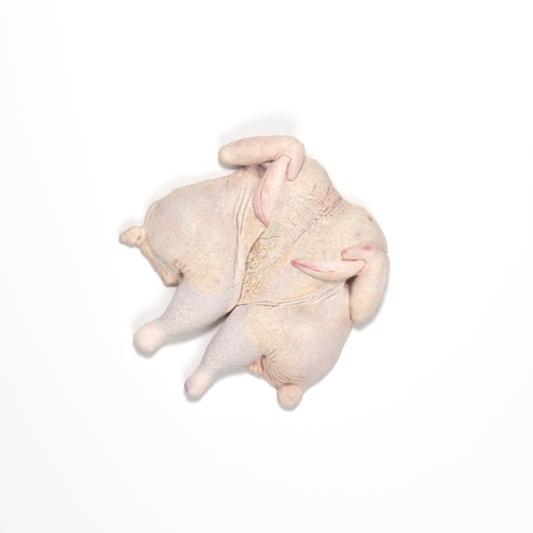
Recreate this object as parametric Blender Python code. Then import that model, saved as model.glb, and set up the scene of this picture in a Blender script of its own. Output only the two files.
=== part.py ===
"""Whole raw chicken, backbone cut out, opened flat and lying skin side up on its cut side.

One closed solid, in metres. +Z is up, +Y runs from the drumstick ends to the neck, +X is the
right-hand side seen from above. The origin is under the middle of the bird's box, at the level
of the surface that it lies on.

The trunk and legs are a rounded slab with the skin's outline, mounds of meat on it and a tube
for each limb, melted together. The folded wings are made the same way on a finer grid, so that
their joints stay crisp, and are then joined to the trunk. A last cut makes the flat underside.
"""

import math

import bmesh
import bpy
from mathutils import Matrix, Vector

MM = 0.001

# Driving sizes. The plan below is drawn in millimetres, seen from above.
PLAN_CENTRE = (-1.5, -3.4)  # the plan's own point that becomes the origin
SLAB_HEIGHT = 15.0  # thickness of the thin skin and meat along the rim
SLAB_ROUND = 6.5  # radius of the rim's rounded edge
TRUNK_GRID = 3.0  # cell size of the melted trunk
WING_GRID = 2.2  # cell size of the melted wings
TRUNK_TRIANGLE_SHARE = 0.15  # share of the trunk's triangles that is kept
WING_TRIANGLE_SHARE = 0.16

# The skin's outline where it lies on the surface, anticlockwise in named stretches.
NECK_EDGE = [(10, 129), (4, 141), (-8, 147), (-20, 152), (-36, 155), (-50, 153), (-62, 147)]
LEFT_ARMPIT = [(-70, 128), (-80, 104), (-94, 92), (-105, 83)]
LEFT_RIM = [
    (-109, 66), (-117, 52), (-126, 37), (-133, 20), (-141, 4), (-147, -12), (-150.5, -27),
    (-147, -39), (-139.5, -54), (-136, -63),
]
LEFT_SKIRT = [(-124, -75), (-108, -76), (-95, -79), (-78, -83), (-69, -84), (-60, -76)]
UNDER_LEGS = [(-40, -62), (-12, -58), (11, -38), (28, -60), (60, -66)]
RIGHT_SKIRT = [(67, -88), (84, -84), (100, -79), (119, -75), (138, -65)]
RIGHT_RIM = [
    (142, -55), (146, -42), (149, -29), (147, -14), (141, 4), (136.5, 20), (132, 36),
    (123, 50),
]
RIGHT_SHOULDER = [(118, 72), (119, 96), (114, 112), (106, 124), (99, 130)]
RIGHT_BREAST_EDGE = [
    (94, 137), (84, 145), (72, 150), (57, 153.5), (44, 154.5), (30, 152), (17, 142),
]
OUTLINE = (
    NECK_EDGE + LEFT_ARMPIT + LEFT_RIM + LEFT_SKIRT + UNDER_LEGS + RIGHT_SKIRT + RIGHT_RIM
    + RIGHT_SHOULDER + RIGHT_BREAST_EDGE
)

# Mounds of meat: middle (x, y, z), half sizes (x, y, z) and turn in degrees about +Z.
MOUNDS = {
    "left_breast": ((-27, 93, 8), (47, 62, 42), 10),
    "right_breast": ((48, 93, 8), (52, 62, 43), -12),
    "breast_bone": ((8, 60, 6), (36, 90, 36), 0),
    "left_breast_tail": ((-24, 38, 4), (40, 80, 32), 20),
    "right_breast_tail": ((40, 36, 4), (42, 80, 33), -20),
    "left_thigh": ((-86, -14, 0), (62.5, 61, 47), -8),
    "left_flank": ((-80, 40, 0), (32, 66, 33), -16),
    "left_leg_joint": ((-52, -30, 4), (56, 44, 40), 0),
    "left_knee": ((-25, -38, 8), (42, 40, 36), 0),
    "right_thigh": ((99.5, -18, 0), (50.5, 59, 50), 8),
    "right_flank": ((100, 36, 0), (32, 58, 35), 12),
    "right_leg_joint": ((72, -28, 4), (52, 44, 42), 0),
    "right_knee": ((47, -36, 8), (42, 42, 37), 0),
}
TAIL = {
    "left_half": ((-139, -70, 8), (12, 14, 10), -35),
    "left_tip": ((-146, -80, 6), (7, 8, 7), -35),
    "right_half": ((134, -73, 9), (15.5, 16, 11), 10),
}

# Limbs: along each bone, the ring's middle (x, y, z) and its half width and half height.
LEGS = {
    "left": [
        (-26, -42, 21, 33, 22), (-26.3, -56, 21, 34.5, 23.5), (-26.3, -68, 20.5, 33.6, 23.5),
        (-26.2, -79, 20, 30.8, 22.5), (-25.8, -90, 19.2, 26.4, 21.5),
        (-26.8, -101, 18.2, 22.8, 20), (-28.6, -112, 16.8, 17.6, 17.5),
        (-30.8, -120, 15.4, 14.6, 15.5), (-34.2, -128, 14.4, 14.8, 14.5),
        (-36.6, -136, 14, 15.8, 14.2), (-37.4, -146, 13.8, 16.9, 14), (-37.2, -155, 13, 16, 13),
    ],
    "right": [
        (44.4, -42, 21, 31, 21), (44.4, -56, 21, 32.4, 22), (44.2, -68, 20.5, 31, 22),
        (43.2, -79, 20, 28.2, 21.2), (41.3, -89, 19, 24.2, 20), (40.6, -99, 18, 20.6, 18.5),
        (41.3, -109, 16.8, 17.2, 16.5), (42.4, -118, 15.4, 14.4, 14.8),
        (43.6, -128, 14.4, 13.2, 13.6), (44, -138, 14, 12.9, 13), (44.4, -147, 13.4, 13.5, 12.8),
        (45.8, -153, 12.6, 12.4, 12.2),
    ],
}
LEFT_WING = {
    "upper_arm": [(-66, 114, 18, 16, 12), (-92, 101, 15, 14, 11), (-110, 93, 13, 9, 9)],
    "forearm": [
        (-128, 82, 14, 12.5, 11.5), (-118, 95, 17, 16, 13.5), (-107, 108, 21, 17, 14.5),
        (-91.5, 126.5, 27, 16.2, 14.5), (-78.5, 141, 31, 15.6, 13.5),
    ],
    "hand": [
        (-73, 131, 34, 14, 12), (-69.5, 118, 37, 14, 10), (-66, 105, 39, 14.8, 9),
        (-62.5, 93, 40, 15.4, 8.3), (-58, 82, 40.5, 15.8, 7.5), (-52, 71.5, 41, 14.5, 6.5),
        (-44.5, 63, 41, 11, 5.5), (-37, 58, 41, 6.5, 4.5), (-33, 55, 41, 3.6, 3.6),
    ],
    "thumb": [
        (-76, 141.5, 33, 15, 13), (-67, 136.5, 36, 12.5, 11), (-60, 129, 39, 9.3, 8.5),
        (-55, 121, 40.5, 7.2, 6.5), (-51.5, 114.5, 41, 6, 5.5),
    ],
}
RIGHT_WING = {
    "upper_arm": [
        (94, 116, 18, 18, 13), (106.5, 107, 16, 13.5, 12.5), (115.5, 92, 14, 12.5, 12),
        (120.5, 76, 13, 12.5, 12),
    ],
    "forearm": [
        (124.5, 57.5, 22, 11, 11.5), (118.5, 67, 25, 16.5, 14), (110, 83, 30, 17.5, 15),
        (99, 101, 35, 16.5, 14.5), (89, 115, 38, 15.5, 13),
    ],
    "hand": [
        (84, 101, 41, 11, 9), (75, 90.5, 43, 13.4, 8.5), (66.5, 79.5, 43, 15.4, 8),
        (57.5, 69.5, 42, 14.8, 7.5), (46.5, 60.5, 41, 12, 6.5), (35.5, 53, 39, 8.5, 5.5),
        (26, 47, 38, 5, 4.2), (22.5, 44.8, 37.5, 3.4, 3.4),
    ],
    "skin_behind": [
        (94, 115, 33, 16, 13), (104, 106, 30.5, 15.5, 13.5), (113, 93, 27, 14.5, 13),
        (120, 80, 23, 13, 12.5), (125, 67, 20, 11.5, 11),
    ],
    "thumb": [
        (83, 117, 41, 13.5, 11), (73, 110.5, 44, 11.5, 9), (65, 102, 46, 9, 7.5),
        (59, 93.5, 47, 6, 5.5),
    ],
}


def place(point):
    """A plan point in millimetres as a point of the model in metres."""
    x, y, z = point
    return Vector((x - PLAN_CENTRE[0], y - PLAN_CENTRE[1], z)) * MM


def object_of(name, mesh):
    obj = bpy.data.objects.new(name, mesh)
    bpy.context.scene.collection.objects.link(obj)
    return obj


def mesh_of(name, bm):
    mesh = bpy.data.meshes.new(name)
    bm.to_mesh(mesh)
    bm.free()
    return mesh


def add_finished(bm, obj):
    """Adds the shape that an object's modifiers or bevel make, and removes the object."""
    graph = bpy.context.evaluated_depsgraph_get()
    finished = bpy.data.meshes.new_from_object(obj.evaluated_get(graph))
    finished.transform(obj.matrix_basis)
    bm.from_mesh(finished)
    bpy.data.objects.remove(obj)


def add_slab(bm):
    """The skin's outline as a smooth closed curve, filled and given a rounded edge."""
    curve = bpy.data.curves.new("skin_outline", "CURVE")
    curve.dimensions = "2D"
    curve.fill_mode = "BOTH"
    curve.resolution_u = 6
    curve.extrude = (SLAB_HEIGHT / 2 - SLAB_ROUND) * MM
    curve.bevel_depth = SLAB_ROUND * MM
    curve.bevel_resolution = 3
    curve.offset = -SLAB_ROUND * MM
    spline = curve.splines.new("BEZIER")
    spline.bezier_points.add(len(OUTLINE) - 1)
    spline.use_cyclic_u = True
    for corner, (x, y) in zip(spline.bezier_points, OUTLINE):
        corner.co = place((x, y, 0))
        corner.handle_left_type = "AUTO"
        corner.handle_right_type = "AUTO"
    outline = object_of("skin_outline", curve)
    outline.location.z = SLAB_HEIGHT / 2 * MM
    add_finished(bm, outline)


def add_mound(bm, middle, half_sizes, turn):
    """An ellipsoid of meat."""
    matrix = (
        Matrix.Translation(place(middle))
        @ Matrix.Rotation(math.radians(turn), 4, "Z")
        @ Matrix.Diagonal([half * MM for half in half_sizes]).to_4x4()
    )
    bmesh.ops.create_icosphere(bm, subdivisions=4, radius=1.0, matrix=matrix)


def add_limb(bm, stations, tip=1.0, sides=20, cap_rings=4):
    """A tube through its stations, each an ellipse across the bone, with caps as round as tip."""
    middles = [place(station[:3]) for station in stations]
    ways = [after - before for before, after in zip(middles, middles[1:])]
    ways = [ways[0], *((a.normalized() + b.normalized()) for a, b in zip(ways, ways[1:])), ways[-1]]
    rings = [(middle, way, station[3:], 1.0)
             for middle, way, station in zip(middles, ways, stations)]
    angles = [math.pi / 2 * (step + 0.5) / cap_rings for step in range(cap_rings)]
    for end, outward, add in ((0, -1, lambda ring: rings.insert(0, ring)), (-1, 1, rings.append)):
        way, size = ways[end].normalized(), stations[end][3:]
        for angle in angles:
            middle = middles[end] + way * (outward * tip * size[1] * MM * math.sin(angle))
            add((middle, way, size, math.cos(angle)))

    loops = []
    for middle, way, (wide, high), shrink in rings:
        along = way.normalized()
        across = along.cross(Vector((0, 0, 1))).normalized()
        turned = Matrix((across, along.cross(across), along)).transposed().to_4x4()
        size = Matrix.Diagonal((wide * shrink * MM, high * shrink * MM, 1.0)).to_4x4()
        made = bmesh.ops.create_circle(
            bm, segments=sides, radius=1.0, matrix=Matrix.Translation(middle) @ turned @ size
        )
        loops.append(list({edge for vert in made["verts"] for edge in vert.link_edges}))
    for loop, following in zip(loops, loops[1:]):
        bmesh.ops.bridge_loops(bm, edges=loop + following)
    for loop in (loops[0], loops[-1]):
        bmesh.ops.contextual_create(bm, geom=loop)


def melt(obj, grid, rounds, triangle_share):
    """Makes one skin round overlapping shapes, softens it and thins its triangles out."""
    remesh = obj.modifiers.new("melt", "REMESH")
    remesh.mode = "VOXEL"
    remesh.voxel_size = grid * MM
    soften = obj.modifiers.new("soften", "SMOOTH")
    soften.factor = 0.5
    soften.iterations = rounds
    thin = obj.modifiers.new("thin", "DECIMATE")
    thin.ratio = triangle_share


def raw_skin():
    material = bpy.data.materials.new("raw_skin")
    material.use_nodes = True
    finish = material.node_tree.nodes["Principled BSDF"]
    finish.inputs["Base Color"].default_value = (0.80, 0.66, 0.57, 1)
    finish.inputs["Roughness"].default_value = 0.38
    finish.inputs["Metallic"].default_value = 0.0
    return material


def make_meat():
    """The trunk's meat, melted until its mounds run into each other as they do under the skin."""
    bm = bmesh.new()
    add_slab(bm)
    for middle, half_sizes, turn in MOUNDS.values():
        add_mound(bm, middle, half_sizes, turn)
    meat = object_of("meat", mesh_of("meat", bm))
    melt(meat, TRUNK_GRID, rounds=90, triangle_share=1.0)
    return meat


def make_trunk():
    """The meat again with the skin's full outline, the drumsticks and the two halves of the tail."""
    bm = bmesh.new()
    add_finished(bm, make_meat())
    add_slab(bm)
    for middle, half_sizes, turn in TAIL.values():
        add_mound(bm, middle, half_sizes, turn)
    for leg in LEGS.values():
        add_limb(bm, leg, tip=0.55)
    trunk = object_of("chicken", mesh_of("chicken", bm))
    melt(trunk, TRUNK_GRID, rounds=14, triangle_share=TRUNK_TRIANGLE_SHARE)
    return trunk


def make_wings():
    """Both folded wings: the upper arm underneath, the forearm on it, the hand on the breast."""
    bm = bmesh.new()
    for wing in (LEFT_WING, RIGHT_WING):
        for limb, stations in wing.items():
            add_limb(bm, stations, tip=0.4 if limb == "thumb" else 1.0)
    wings = object_of("wings", mesh_of("wings", bm))
    melt(wings, WING_GRID, rounds=3, triangle_share=WING_TRIANGLE_SHARE)
    return wings


def make_surface_block():
    """All the space under the surface that the bird lies on."""
    bm = bmesh.new()
    bmesh.ops.create_cube(bm, size=1.0)
    block = object_of("surface_block", mesh_of("surface_block", bm))
    block.location.z = -0.5
    return block


def boolean(obj, operation, other):
    modifier = obj.modifiers.new(other.name, "BOOLEAN")
    modifier.operation = operation
    modifier.object = other
    modifier.solver = "EXACT"
    other.hide_render = True
    other.display_type = "WIRE"


for old in list(bpy.data.objects):
    bpy.data.objects.remove(old)

chicken = make_trunk()
boolean(chicken, "UNION", make_wings())
boolean(chicken, "DIFFERENCE", make_surface_block())
chicken.data.materials.append(raw_skin())
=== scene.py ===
"""A whole raw chicken with its backbone cut out, opened flat and lying skin side up.

Plan sizes are in millimetres, seen from above, with y running from the drumsticks to the neck.
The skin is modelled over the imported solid, first the trunk with the legs and then each wing.
"""

import math

import bmesh
import bpy
import numpy as np
from mathutils import Matrix, Vector


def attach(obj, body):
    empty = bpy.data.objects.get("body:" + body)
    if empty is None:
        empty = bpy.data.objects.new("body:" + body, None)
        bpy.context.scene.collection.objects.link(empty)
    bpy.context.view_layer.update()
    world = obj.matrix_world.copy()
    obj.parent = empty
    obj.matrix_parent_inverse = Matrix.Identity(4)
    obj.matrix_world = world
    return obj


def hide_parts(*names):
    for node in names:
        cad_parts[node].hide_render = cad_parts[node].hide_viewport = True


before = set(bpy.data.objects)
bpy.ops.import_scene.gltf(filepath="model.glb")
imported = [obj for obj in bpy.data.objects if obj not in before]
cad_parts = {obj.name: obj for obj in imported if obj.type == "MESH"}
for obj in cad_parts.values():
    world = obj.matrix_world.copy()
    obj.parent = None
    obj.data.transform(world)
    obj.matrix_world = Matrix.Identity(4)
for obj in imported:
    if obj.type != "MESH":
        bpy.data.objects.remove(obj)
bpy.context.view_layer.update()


# ---------------------------------------------------------------------------------------------
# The trunk and legs. Mounds of meat are melted into one mass under one loose skin, which spreads
# to a thin rim where it lies on the board. The underside is cut flat.

MM = 0.001
PLAN_CENTRE = (-1.5, -3.4)  # the middle of the bird's box, where the frame has its origin
SLAB_HEIGHT = 15.0
SLAB_ROUND = 6.5
MEAT_GRID = 3.0
SKIN_GRID = 1.25

NECK_EDGE = [(10, 129), (4, 141), (-8, 147), (-20, 152), (-36, 155), (-50, 153), (-62, 147)]
LEFT_ARMPIT = [(-70, 128), (-80, 104), (-94, 92), (-105, 83)]
LEFT_RIM = [
    (-109, 66), (-117, 52), (-126, 37), (-133, 20), (-141, 4), (-147, -12), (-150.5, -27),
    (-147, -39), (-139.5, -54), (-136, -63),
]
LEFT_SKIRT = [(-124, -75), (-108, -76), (-95, -79), (-78, -83), (-69, -84), (-60, -76)]
UNDER_LEGS = [(-40, -62), (-12, -58), (11, -38), (28, -60), (60, -66)]
RIGHT_SKIRT = [(67, -88), (84, -84), (100, -79), (119, -75), (138, -65)]
RIGHT_RIM = [
    (142, -55), (146, -42), (149, -29), (147, -14), (141, 4), (136.5, 20), (132, 36),
    (123, 50),
]
RIGHT_SHOULDER = [(118, 72), (119, 96), (114, 112), (106, 124), (99, 130)]
RIGHT_BREAST_EDGE = [
    (94, 137), (84, 145), (72, 150), (57, 153.5), (44, 154.5), (30, 152), (17, 142),
]
OUTLINE = (
    NECK_EDGE + LEFT_ARMPIT + LEFT_RIM + LEFT_SKIRT + UNDER_LEGS + RIGHT_SKIRT + RIGHT_RIM
    + RIGHT_SHOULDER + RIGHT_BREAST_EDGE
)

# Mounds of meat: middle (x, y, z), half sizes (x, y, z) and turn in degrees about +Z.
MOUNDS = {
    "left_breast": ((-27, 93, 8), (47, 62, 42), 10),
    "right_breast": ((48, 93, 8), (52, 62, 43), -12),
    "breast_bone": ((8, 60, 6), (36, 90, 36), 0),
    "left_breast_tail": ((-24, 38, 4), (40, 80, 32), 20),
    "right_breast_tail": ((40, 36, 4), (42, 80, 33), -20),
    "left_thigh": ((-86, -14, 0), (62.5, 61, 47), -8),
    "left_flank": ((-80, 40, 0), (32, 66, 33), -16),
    "left_leg_joint": ((-52, -30, 4), (56, 44, 40), 0),
    "left_knee": ((-25, -38, 8), (42, 40, 36), 0),
    "right_thigh": ((99.5, -18, 0), (50.5, 59, 50), 8),
    "right_flank": ((100, 36, 0), (32, 58, 35), 12),
    "right_leg_joint": ((72, -28, 4), (52, 44, 42), 0),
    "right_knee": ((47, -36, 8), (42, 42, 37), 0),
}
TAIL = {
    "left_half": ((-139, -70, 8), (12, 14, 10), -35),
    "left_tip": ((-146, -80, 6), (7, 8, 7), -35),
    "right_half": ((134, -73, 9), (15.5, 16, 11), 10),
}

# Limbs: along each bone, the ring's middle (x, y, z) and its half width and half height.
LEGS = {
    "left": [
        (-26, -42, 21, 33, 22), (-26.3, -56, 21, 34.5, 23.5), (-26.3, -68, 20.5, 33.6, 23.5),
        (-26.2, -79, 20, 30.8, 22.5), (-25.8, -90, 19.2, 26.4, 21.5),
        (-26.8, -101, 18.2, 22.8, 20), (-28.6, -112, 16.8, 17.6, 17.5),
        (-30.8, -120, 15.4, 14.6, 15.5), (-34.2, -128, 14.4, 14.8, 14.5),
        (-36.6, -136, 14, 15.8, 14.2), (-37.4, -146, 13.8, 16.9, 14), (-37.2, -155, 13, 16, 13),
    ],
    "right": [
        (44.4, -42, 21, 31, 21), (44.4, -56, 21, 32.4, 22), (44.2, -68, 20.5, 31, 22),
        (43.2, -79, 20, 28.2, 21.2), (41.3, -89, 19, 24.2, 20), (40.6, -99, 18, 20.6, 18.5),
        (41.3, -109, 16.8, 17.2, 16.5), (42.4, -118, 15.4, 14.4, 14.8),
        (43.6, -128, 14.4, 13.2, 13.6), (44, -138, 14, 12.9, 13), (44.4, -147, 13.4, 13.5, 12.8),
        (45.8, -153, 12.6, 12.4, 12.2),
    ],
}
# The upper arms lie under the forearms, and only the right one's skin shows.
UPPER_ARMS = {
    "left": [(-66, 114, 18, 16, 12), (-92, 101, 15, 14, 11), (-110, 93, 13, 9, 9)],
    "right": [
        (94, 116, 18, 18, 13), (106.5, 107, 16, 13.5, 12.5), (115.5, 92, 14, 12.5, 12),
        (120.5, 76, 13, 12.5, 12),
    ],
}


def place(point):
    """Plan millimetres to metres about the model's origin."""
    x, y, z = point
    return Vector((x - PLAN_CENTRE[0], y - PLAN_CENTRE[1], z)) * MM


def object_of(name, data):
    obj = bpy.data.objects.new(name, data)
    bpy.context.scene.collection.objects.link(obj)
    return obj


def mesh_of(name, bm):
    mesh = bpy.data.meshes.new(name)
    bm.to_mesh(mesh)
    bm.free()
    return mesh


def finished(obj):
    """The mesh that an object's modifiers or bevel make, and the object gone."""
    graph = bpy.context.evaluated_depsgraph_get()
    mesh = bpy.data.meshes.new_from_object(obj.evaluated_get(graph))
    mesh.transform(obj.matrix_basis)
    bpy.data.objects.remove(obj)
    return mesh


def add_slab(bm):
    """The skin's outline as a smooth closed curve, filled and given a rounded edge."""
    curve = bpy.data.curves.new("skin_outline", "CURVE")
    curve.dimensions = "2D"
    curve.fill_mode = "BOTH"
    curve.resolution_u = 6
    curve.extrude = (SLAB_HEIGHT / 2 - SLAB_ROUND) * MM
    curve.bevel_depth = SLAB_ROUND * MM
    curve.bevel_resolution = 3
    curve.offset = -SLAB_ROUND * MM
    spline = curve.splines.new("BEZIER")
    spline.bezier_points.add(len(OUTLINE) - 1)
    spline.use_cyclic_u = True
    for corner, (x, y) in zip(spline.bezier_points, OUTLINE):
        corner.co = place((x, y, 0))
        corner.handle_left_type = "AUTO"
        corner.handle_right_type = "AUTO"
    outline = object_of("skin_outline", curve)
    outline.location.z = SLAB_HEIGHT / 2 * MM
    bm.from_mesh(finished(outline))


def add_mound(bm, middle, half_sizes, turn):
    """An ellipsoid of meat."""
    matrix = (
        Matrix.Translation(place(middle))
        @ Matrix.Rotation(math.radians(turn), 4, "Z")
        @ Matrix.Diagonal([half * MM for half in half_sizes]).to_4x4()
    )
    bmesh.ops.create_icosphere(bm, subdivisions=4, radius=1.0, matrix=matrix)


def add_limb(bm, stations, tip=1.0, sides=32, cap_rings=6):
    """A tube through its stations, each an ellipse across the bone, with caps as round as tip."""
    middles = [place(station[:3]) for station in stations]
    ways = [after - before for before, after in zip(middles, middles[1:])]
    bends = [before.normalized() + after.normalized() for before, after in zip(ways, ways[1:])]
    ways = [ways[0], *bends, ways[-1]]
    rings = [(middle, way, station[3:], 1.0)
             for middle, way, station in zip(middles, ways, stations)]
    angles = [math.pi / 2 * (step + 0.5) / cap_rings for step in range(cap_rings)]
    for end, outward, add in ((0, -1, lambda ring: rings.insert(0, ring)), (-1, 1, rings.append)):
        way, size = ways[end].normalized(), stations[end][3:]
        for angle in angles:
            middle = middles[end] + way * (outward * tip * size[1] * MM * math.sin(angle))
            add((middle, way, size, math.cos(angle)))

    loops = []
    for middle, way, (wide, high), shrink in rings:
        along = way.normalized()
        across = along.cross(Vector((0, 0, 1))).normalized()
        turned = Matrix((across, along.cross(across), along)).transposed().to_4x4()
        size = Matrix.Diagonal((wide * shrink * MM, high * shrink * MM, 1.0)).to_4x4()
        made = bmesh.ops.create_circle(
            bm, segments=sides, radius=1.0, matrix=Matrix.Translation(middle) @ turned @ size
        )
        loops.append(list({edge for vert in made["verts"] for edge in vert.link_edges}))
    for loop, following in zip(loops, loops[1:]):
        bmesh.ops.bridge_loops(bm, edges=loop + following)
    for loop in (loops[0], loops[-1]):
        bmesh.ops.contextual_create(bm, geom=loop)


def melted(name, bm, grid, rounds):
    """One skin round overlapping shapes, on an even grid, softened."""
    obj = object_of(name, mesh_of(name, bm))
    remesh = obj.modifiers.new("melt", "REMESH")
    remesh.mode = "VOXEL"
    remesh.voxel_size = grid * MM
    soften = obj.modifiers.new("soften", "SMOOTH")
    soften.factor = 0.5
    soften.iterations = rounds
    return finished(obj)


def cut_flat_underneath(mesh):
    """Cuts off all that is under the board's surface and closes the cut."""
    bm = bmesh.new()
    bm.from_mesh(mesh)
    geometry = list(bm.verts) + list(bm.edges) + list(bm.faces)
    bmesh.ops.bisect_plane(
        bm, geom=geometry, plane_co=(0, 0, 0), plane_no=(0, 0, 1), clear_inner=True
    )
    rim = [edge for edge in bm.edges if edge.is_boundary]
    bmesh.ops.triangle_fill(bm, use_beauty=False, edges=rim)
    bmesh.ops.recalc_face_normals(bm, faces=bm.faces)
    bm.to_mesh(mesh)
    bm.free()


def trunk_mesh():
    meat = bmesh.new()
    add_slab(meat)
    for mound in MOUNDS.values():
        add_mound(meat, *mound)
    skin = bmesh.new()
    skin.from_mesh(melted("meat", meat, MEAT_GRID, rounds=90))
    add_slab(skin)
    for mound in TAIL.values():
        add_mound(skin, *mound)
    for leg in LEGS.values():
        add_limb(skin, leg, tip=0.55)
    for upper_arm in UPPER_ARMS.values():
        add_limb(skin, upper_arm)
    mesh = melted("skin", skin, SKIN_GRID, rounds=64)
    cut_flat_underneath(mesh)
    return mesh


class Skin:
    """A mesh's points while they are pushed about and coloured, in plan millimetres."""

    def __init__(self, mesh):
        self.mesh = mesh
        count = len(mesh.vertices)
        place_and_out = np.empty((2, count * 3), np.float32)
        mesh.vertices.foreach_get("co", place_and_out[0])
        mesh.vertices.foreach_get("normal", place_and_out[1])
        points, self.out = place_and_out.reshape(2, count, 3).astype(float)
        self.points = points / MM + (*PLAN_CENTRE, 0.0)
        self.x, self.y, self.z = self.points.T
        self.height = np.zeros(count)
        self.colour = np.zeros((count, 3))
        self.loose = np.clip(self.z / 4.0, 0.0, 1.0)  # how free the skin is of the board

    def push(self, height):
        self.height += height

    def tint(self, colour, share):
        share = np.clip(share, 0.0, 1.0)[:, None]
        self.colour += (pigment(*colour) - self.colour) * share

    def shade(self, share):
        """Darkens and reddens the colour where blood and shadow gather in a fold."""
        self.colour *= 1.0 - np.clip(share, 0.0, 1.0)[:, None] * (0.38, 0.52, 0.56)

    def settle(self):
        """Moves the points out by their height and takes the new directions."""
        moved = self.points + self.out * (self.height * self.loose)[:, None]
        moved[:, 2] = np.maximum(moved[:, 2], 0.0)
        self.points = moved
        self.x, self.y, self.z = self.points.T
        metres = (moved - (*PLAN_CENTRE, 0.0)) * MM
        self.mesh.vertices.foreach_set("co", metres.astype(np.float32).ravel())
        self.mesh.update()
        out = np.empty(len(metres) * 3, np.float32)
        self.mesh.vertices.foreach_get("normal", out)
        self.out = out.reshape(-1, 3).astype(float)
        self.height = np.zeros(len(metres))


def pigment(red, green, blue):
    """A colour as a painter would name it, from 0 to 255, as the light that it gives back."""
    share = np.array((red, green, blue)) / 255.0
    return np.where(share < 0.04045, share / 12.92, ((share + 0.055) / 1.055) ** 2.4)


def curved(path, steps=5):
    """A smooth line through the path's points."""
    p = np.array(path, float)
    p = np.vstack([2 * p[0] - p[1], p, 2 * p[-1] - p[-2]])
    t = np.linspace(0, 1, steps, endpoint=False)[:, None]
    pieces = []
    for a, b, c, d in zip(p, p[1:], p[2:], p[3:]):
        pieces.append(
            0.5 * (2 * b + (c - a) * t + (2 * a - 5 * b + 4 * c - d) * t**2
                   + (3 * b - a - 3 * c + d) * t**3)
        )
    return np.vstack([*pieces, p[-2:-1]])


# From here on, a helper that isn't given its points works on the piece in hand, `skin`.


def follow(path, reach):
    """Distance to the line, signed + on its left, and the share of its length, near it."""
    x, y = skin.x, skin.y
    line = curved(path) if len(path) > 2 else np.array(path, float)
    runs = np.hypot(*np.diff(line, axis=0).T)
    starts = np.concatenate([[0], np.cumsum(runs)])
    near = np.flatnonzero(
        (x > line[:, 0].min() - reach) & (x < line[:, 0].max() + reach)
        & (y > line[:, 1].min() - reach) & (y < line[:, 1].max() + reach)
    )
    distance = np.full(len(x), 1e3)
    share = np.zeros(len(x))
    px, py = x[near], y[near]
    best = np.full(len(near), 1e3)
    best_share = np.zeros(len(near))
    for (ax, ay), (bx, by), run, start in zip(line, line[1:], runs, starts):
        if run < 1e-6:
            continue
        ux, uy = (bx - ax) / run, (by - ay) / run
        t = np.clip((px - ax) * ux + (py - ay) * uy, 0, run)
        dx, dy = px - ax - t * ux, py - ay - t * uy
        away = np.hypot(dx, dy)
        side = np.sign(ux * dy - uy * dx)
        closer = away < np.abs(best)
        best = np.where(closer, away * np.where(side == 0, 1, side), best)
        best_share = np.where(closer, (start + t) / starts[-1], best_share)
    distance[near] = best
    share[near] = best_share
    return distance, share


def line_of(path, width, fade=0.5):
    """1 on the line, falling off over its width, and fading out at both of its ends."""
    distance, share = follow(path, width * 3)
    ends = np.clip(np.minimum(share, 1 - share) * 2, 0, 1) ** fade
    return np.exp(-((distance / width) ** 2)) * ends


def spot(centre, half_x, half_y, turn=0.0):
    """1 at the centre, falling off over the half sizes."""
    angle = math.radians(turn)
    dx, dy = skin.x - centre[0], skin.y - centre[1]
    u = (dx * math.cos(angle) + dy * math.sin(angle)) / half_x
    v = (-dx * math.sin(angle) + dy * math.cos(angle)) / half_y
    return np.exp(-(u * u + v * v))


def rise(value, low, high):
    """0 below low, 1 above high, and smooth between them."""
    t = np.clip((value - low) / (high - low), 0, 1)
    return t * t * (3 - 2 * t)


def hills(size, seed):
    """Smooth uneven hills over the piece in hand."""
    return wander(skin.points, size, seed)


def wander(points, size, seed, waves=14):
    """A smooth uneven field from about -1 to 1, with hills of about the size, in millimetres."""
    rng = np.random.default_rng(seed)
    way = rng.normal(size=(waves, points.shape[1]))
    way /= np.linalg.norm(way, axis=1)[:, None]
    way *= 2 * np.pi / size * rng.uniform(0.6, 1.4, waves)[:, None] / 2
    field = np.zeros(len(points))
    for wave, start in zip(way, rng.uniform(0, 2 * np.pi, waves)):
        field += np.cos(points @ wave + start)
    return field / math.sqrt(waves)


def follicles(u, v, spacing, seed, uneven=0.32):
    """Distance to the nearest feather pit, in millimetres, on staggered rows along u."""
    row_gap = spacing * 0.87
    nearest = np.full(len(u), 1e3)
    row = np.floor(v / row_gap)
    for dr in (-1, 0, 1):
        r = row + dr
        stagger = np.mod(r, 2) * 0.5
        cell = np.floor(u / spacing - stagger)
        for dc in (-1, 0, 1):
            c = cell + dc
            jitter_u = np.mod(np.sin(c * 127.1 + r * 311.7 + seed) * 43758.5453, 1) - 0.5
            jitter_v = np.mod(np.sin(c * 269.5 + r * 183.3 + seed) * 43758.5453, 1) - 0.5
            pit_u = (c + 0.5 + stagger + jitter_u * uneven * 2) * spacing
            pit_v = (r + 0.5 + jitter_v * uneven * 2) * row_gap
            nearest = np.minimum(nearest, np.hypot(u - pit_u, v - pit_v))
    return nearest


def paint(patches):
    """Soft patches of colour: middle, half sizes, turn in degrees, colour and share."""
    for centre, half_sizes, turn, colour, share in patches:
        skin.tint(colour, share * spot(centre, *half_sizes, turn))


def blotch(most, seed, patches):
    """Patches that run into each other, as thin skin has: their size, colour and share."""
    for step, (size, colour, share) in enumerate(patches):
        skin.tint(colour, most * share * rise(hills(size, seed + step), 0.3, 1.6))


def streaks(across, along, width, length, seed):
    """An uneven field drawn out along one direction, in hills about as wide and long as given."""
    return wander(np.column_stack([across / width, along / length]), 1.0, seed)


def creased(field, sharp=0.3):
    """1 in the narrow creases where a field crosses nothing, and 0 on its hills."""
    return np.exp(-((field / sharp) ** 2))


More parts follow.
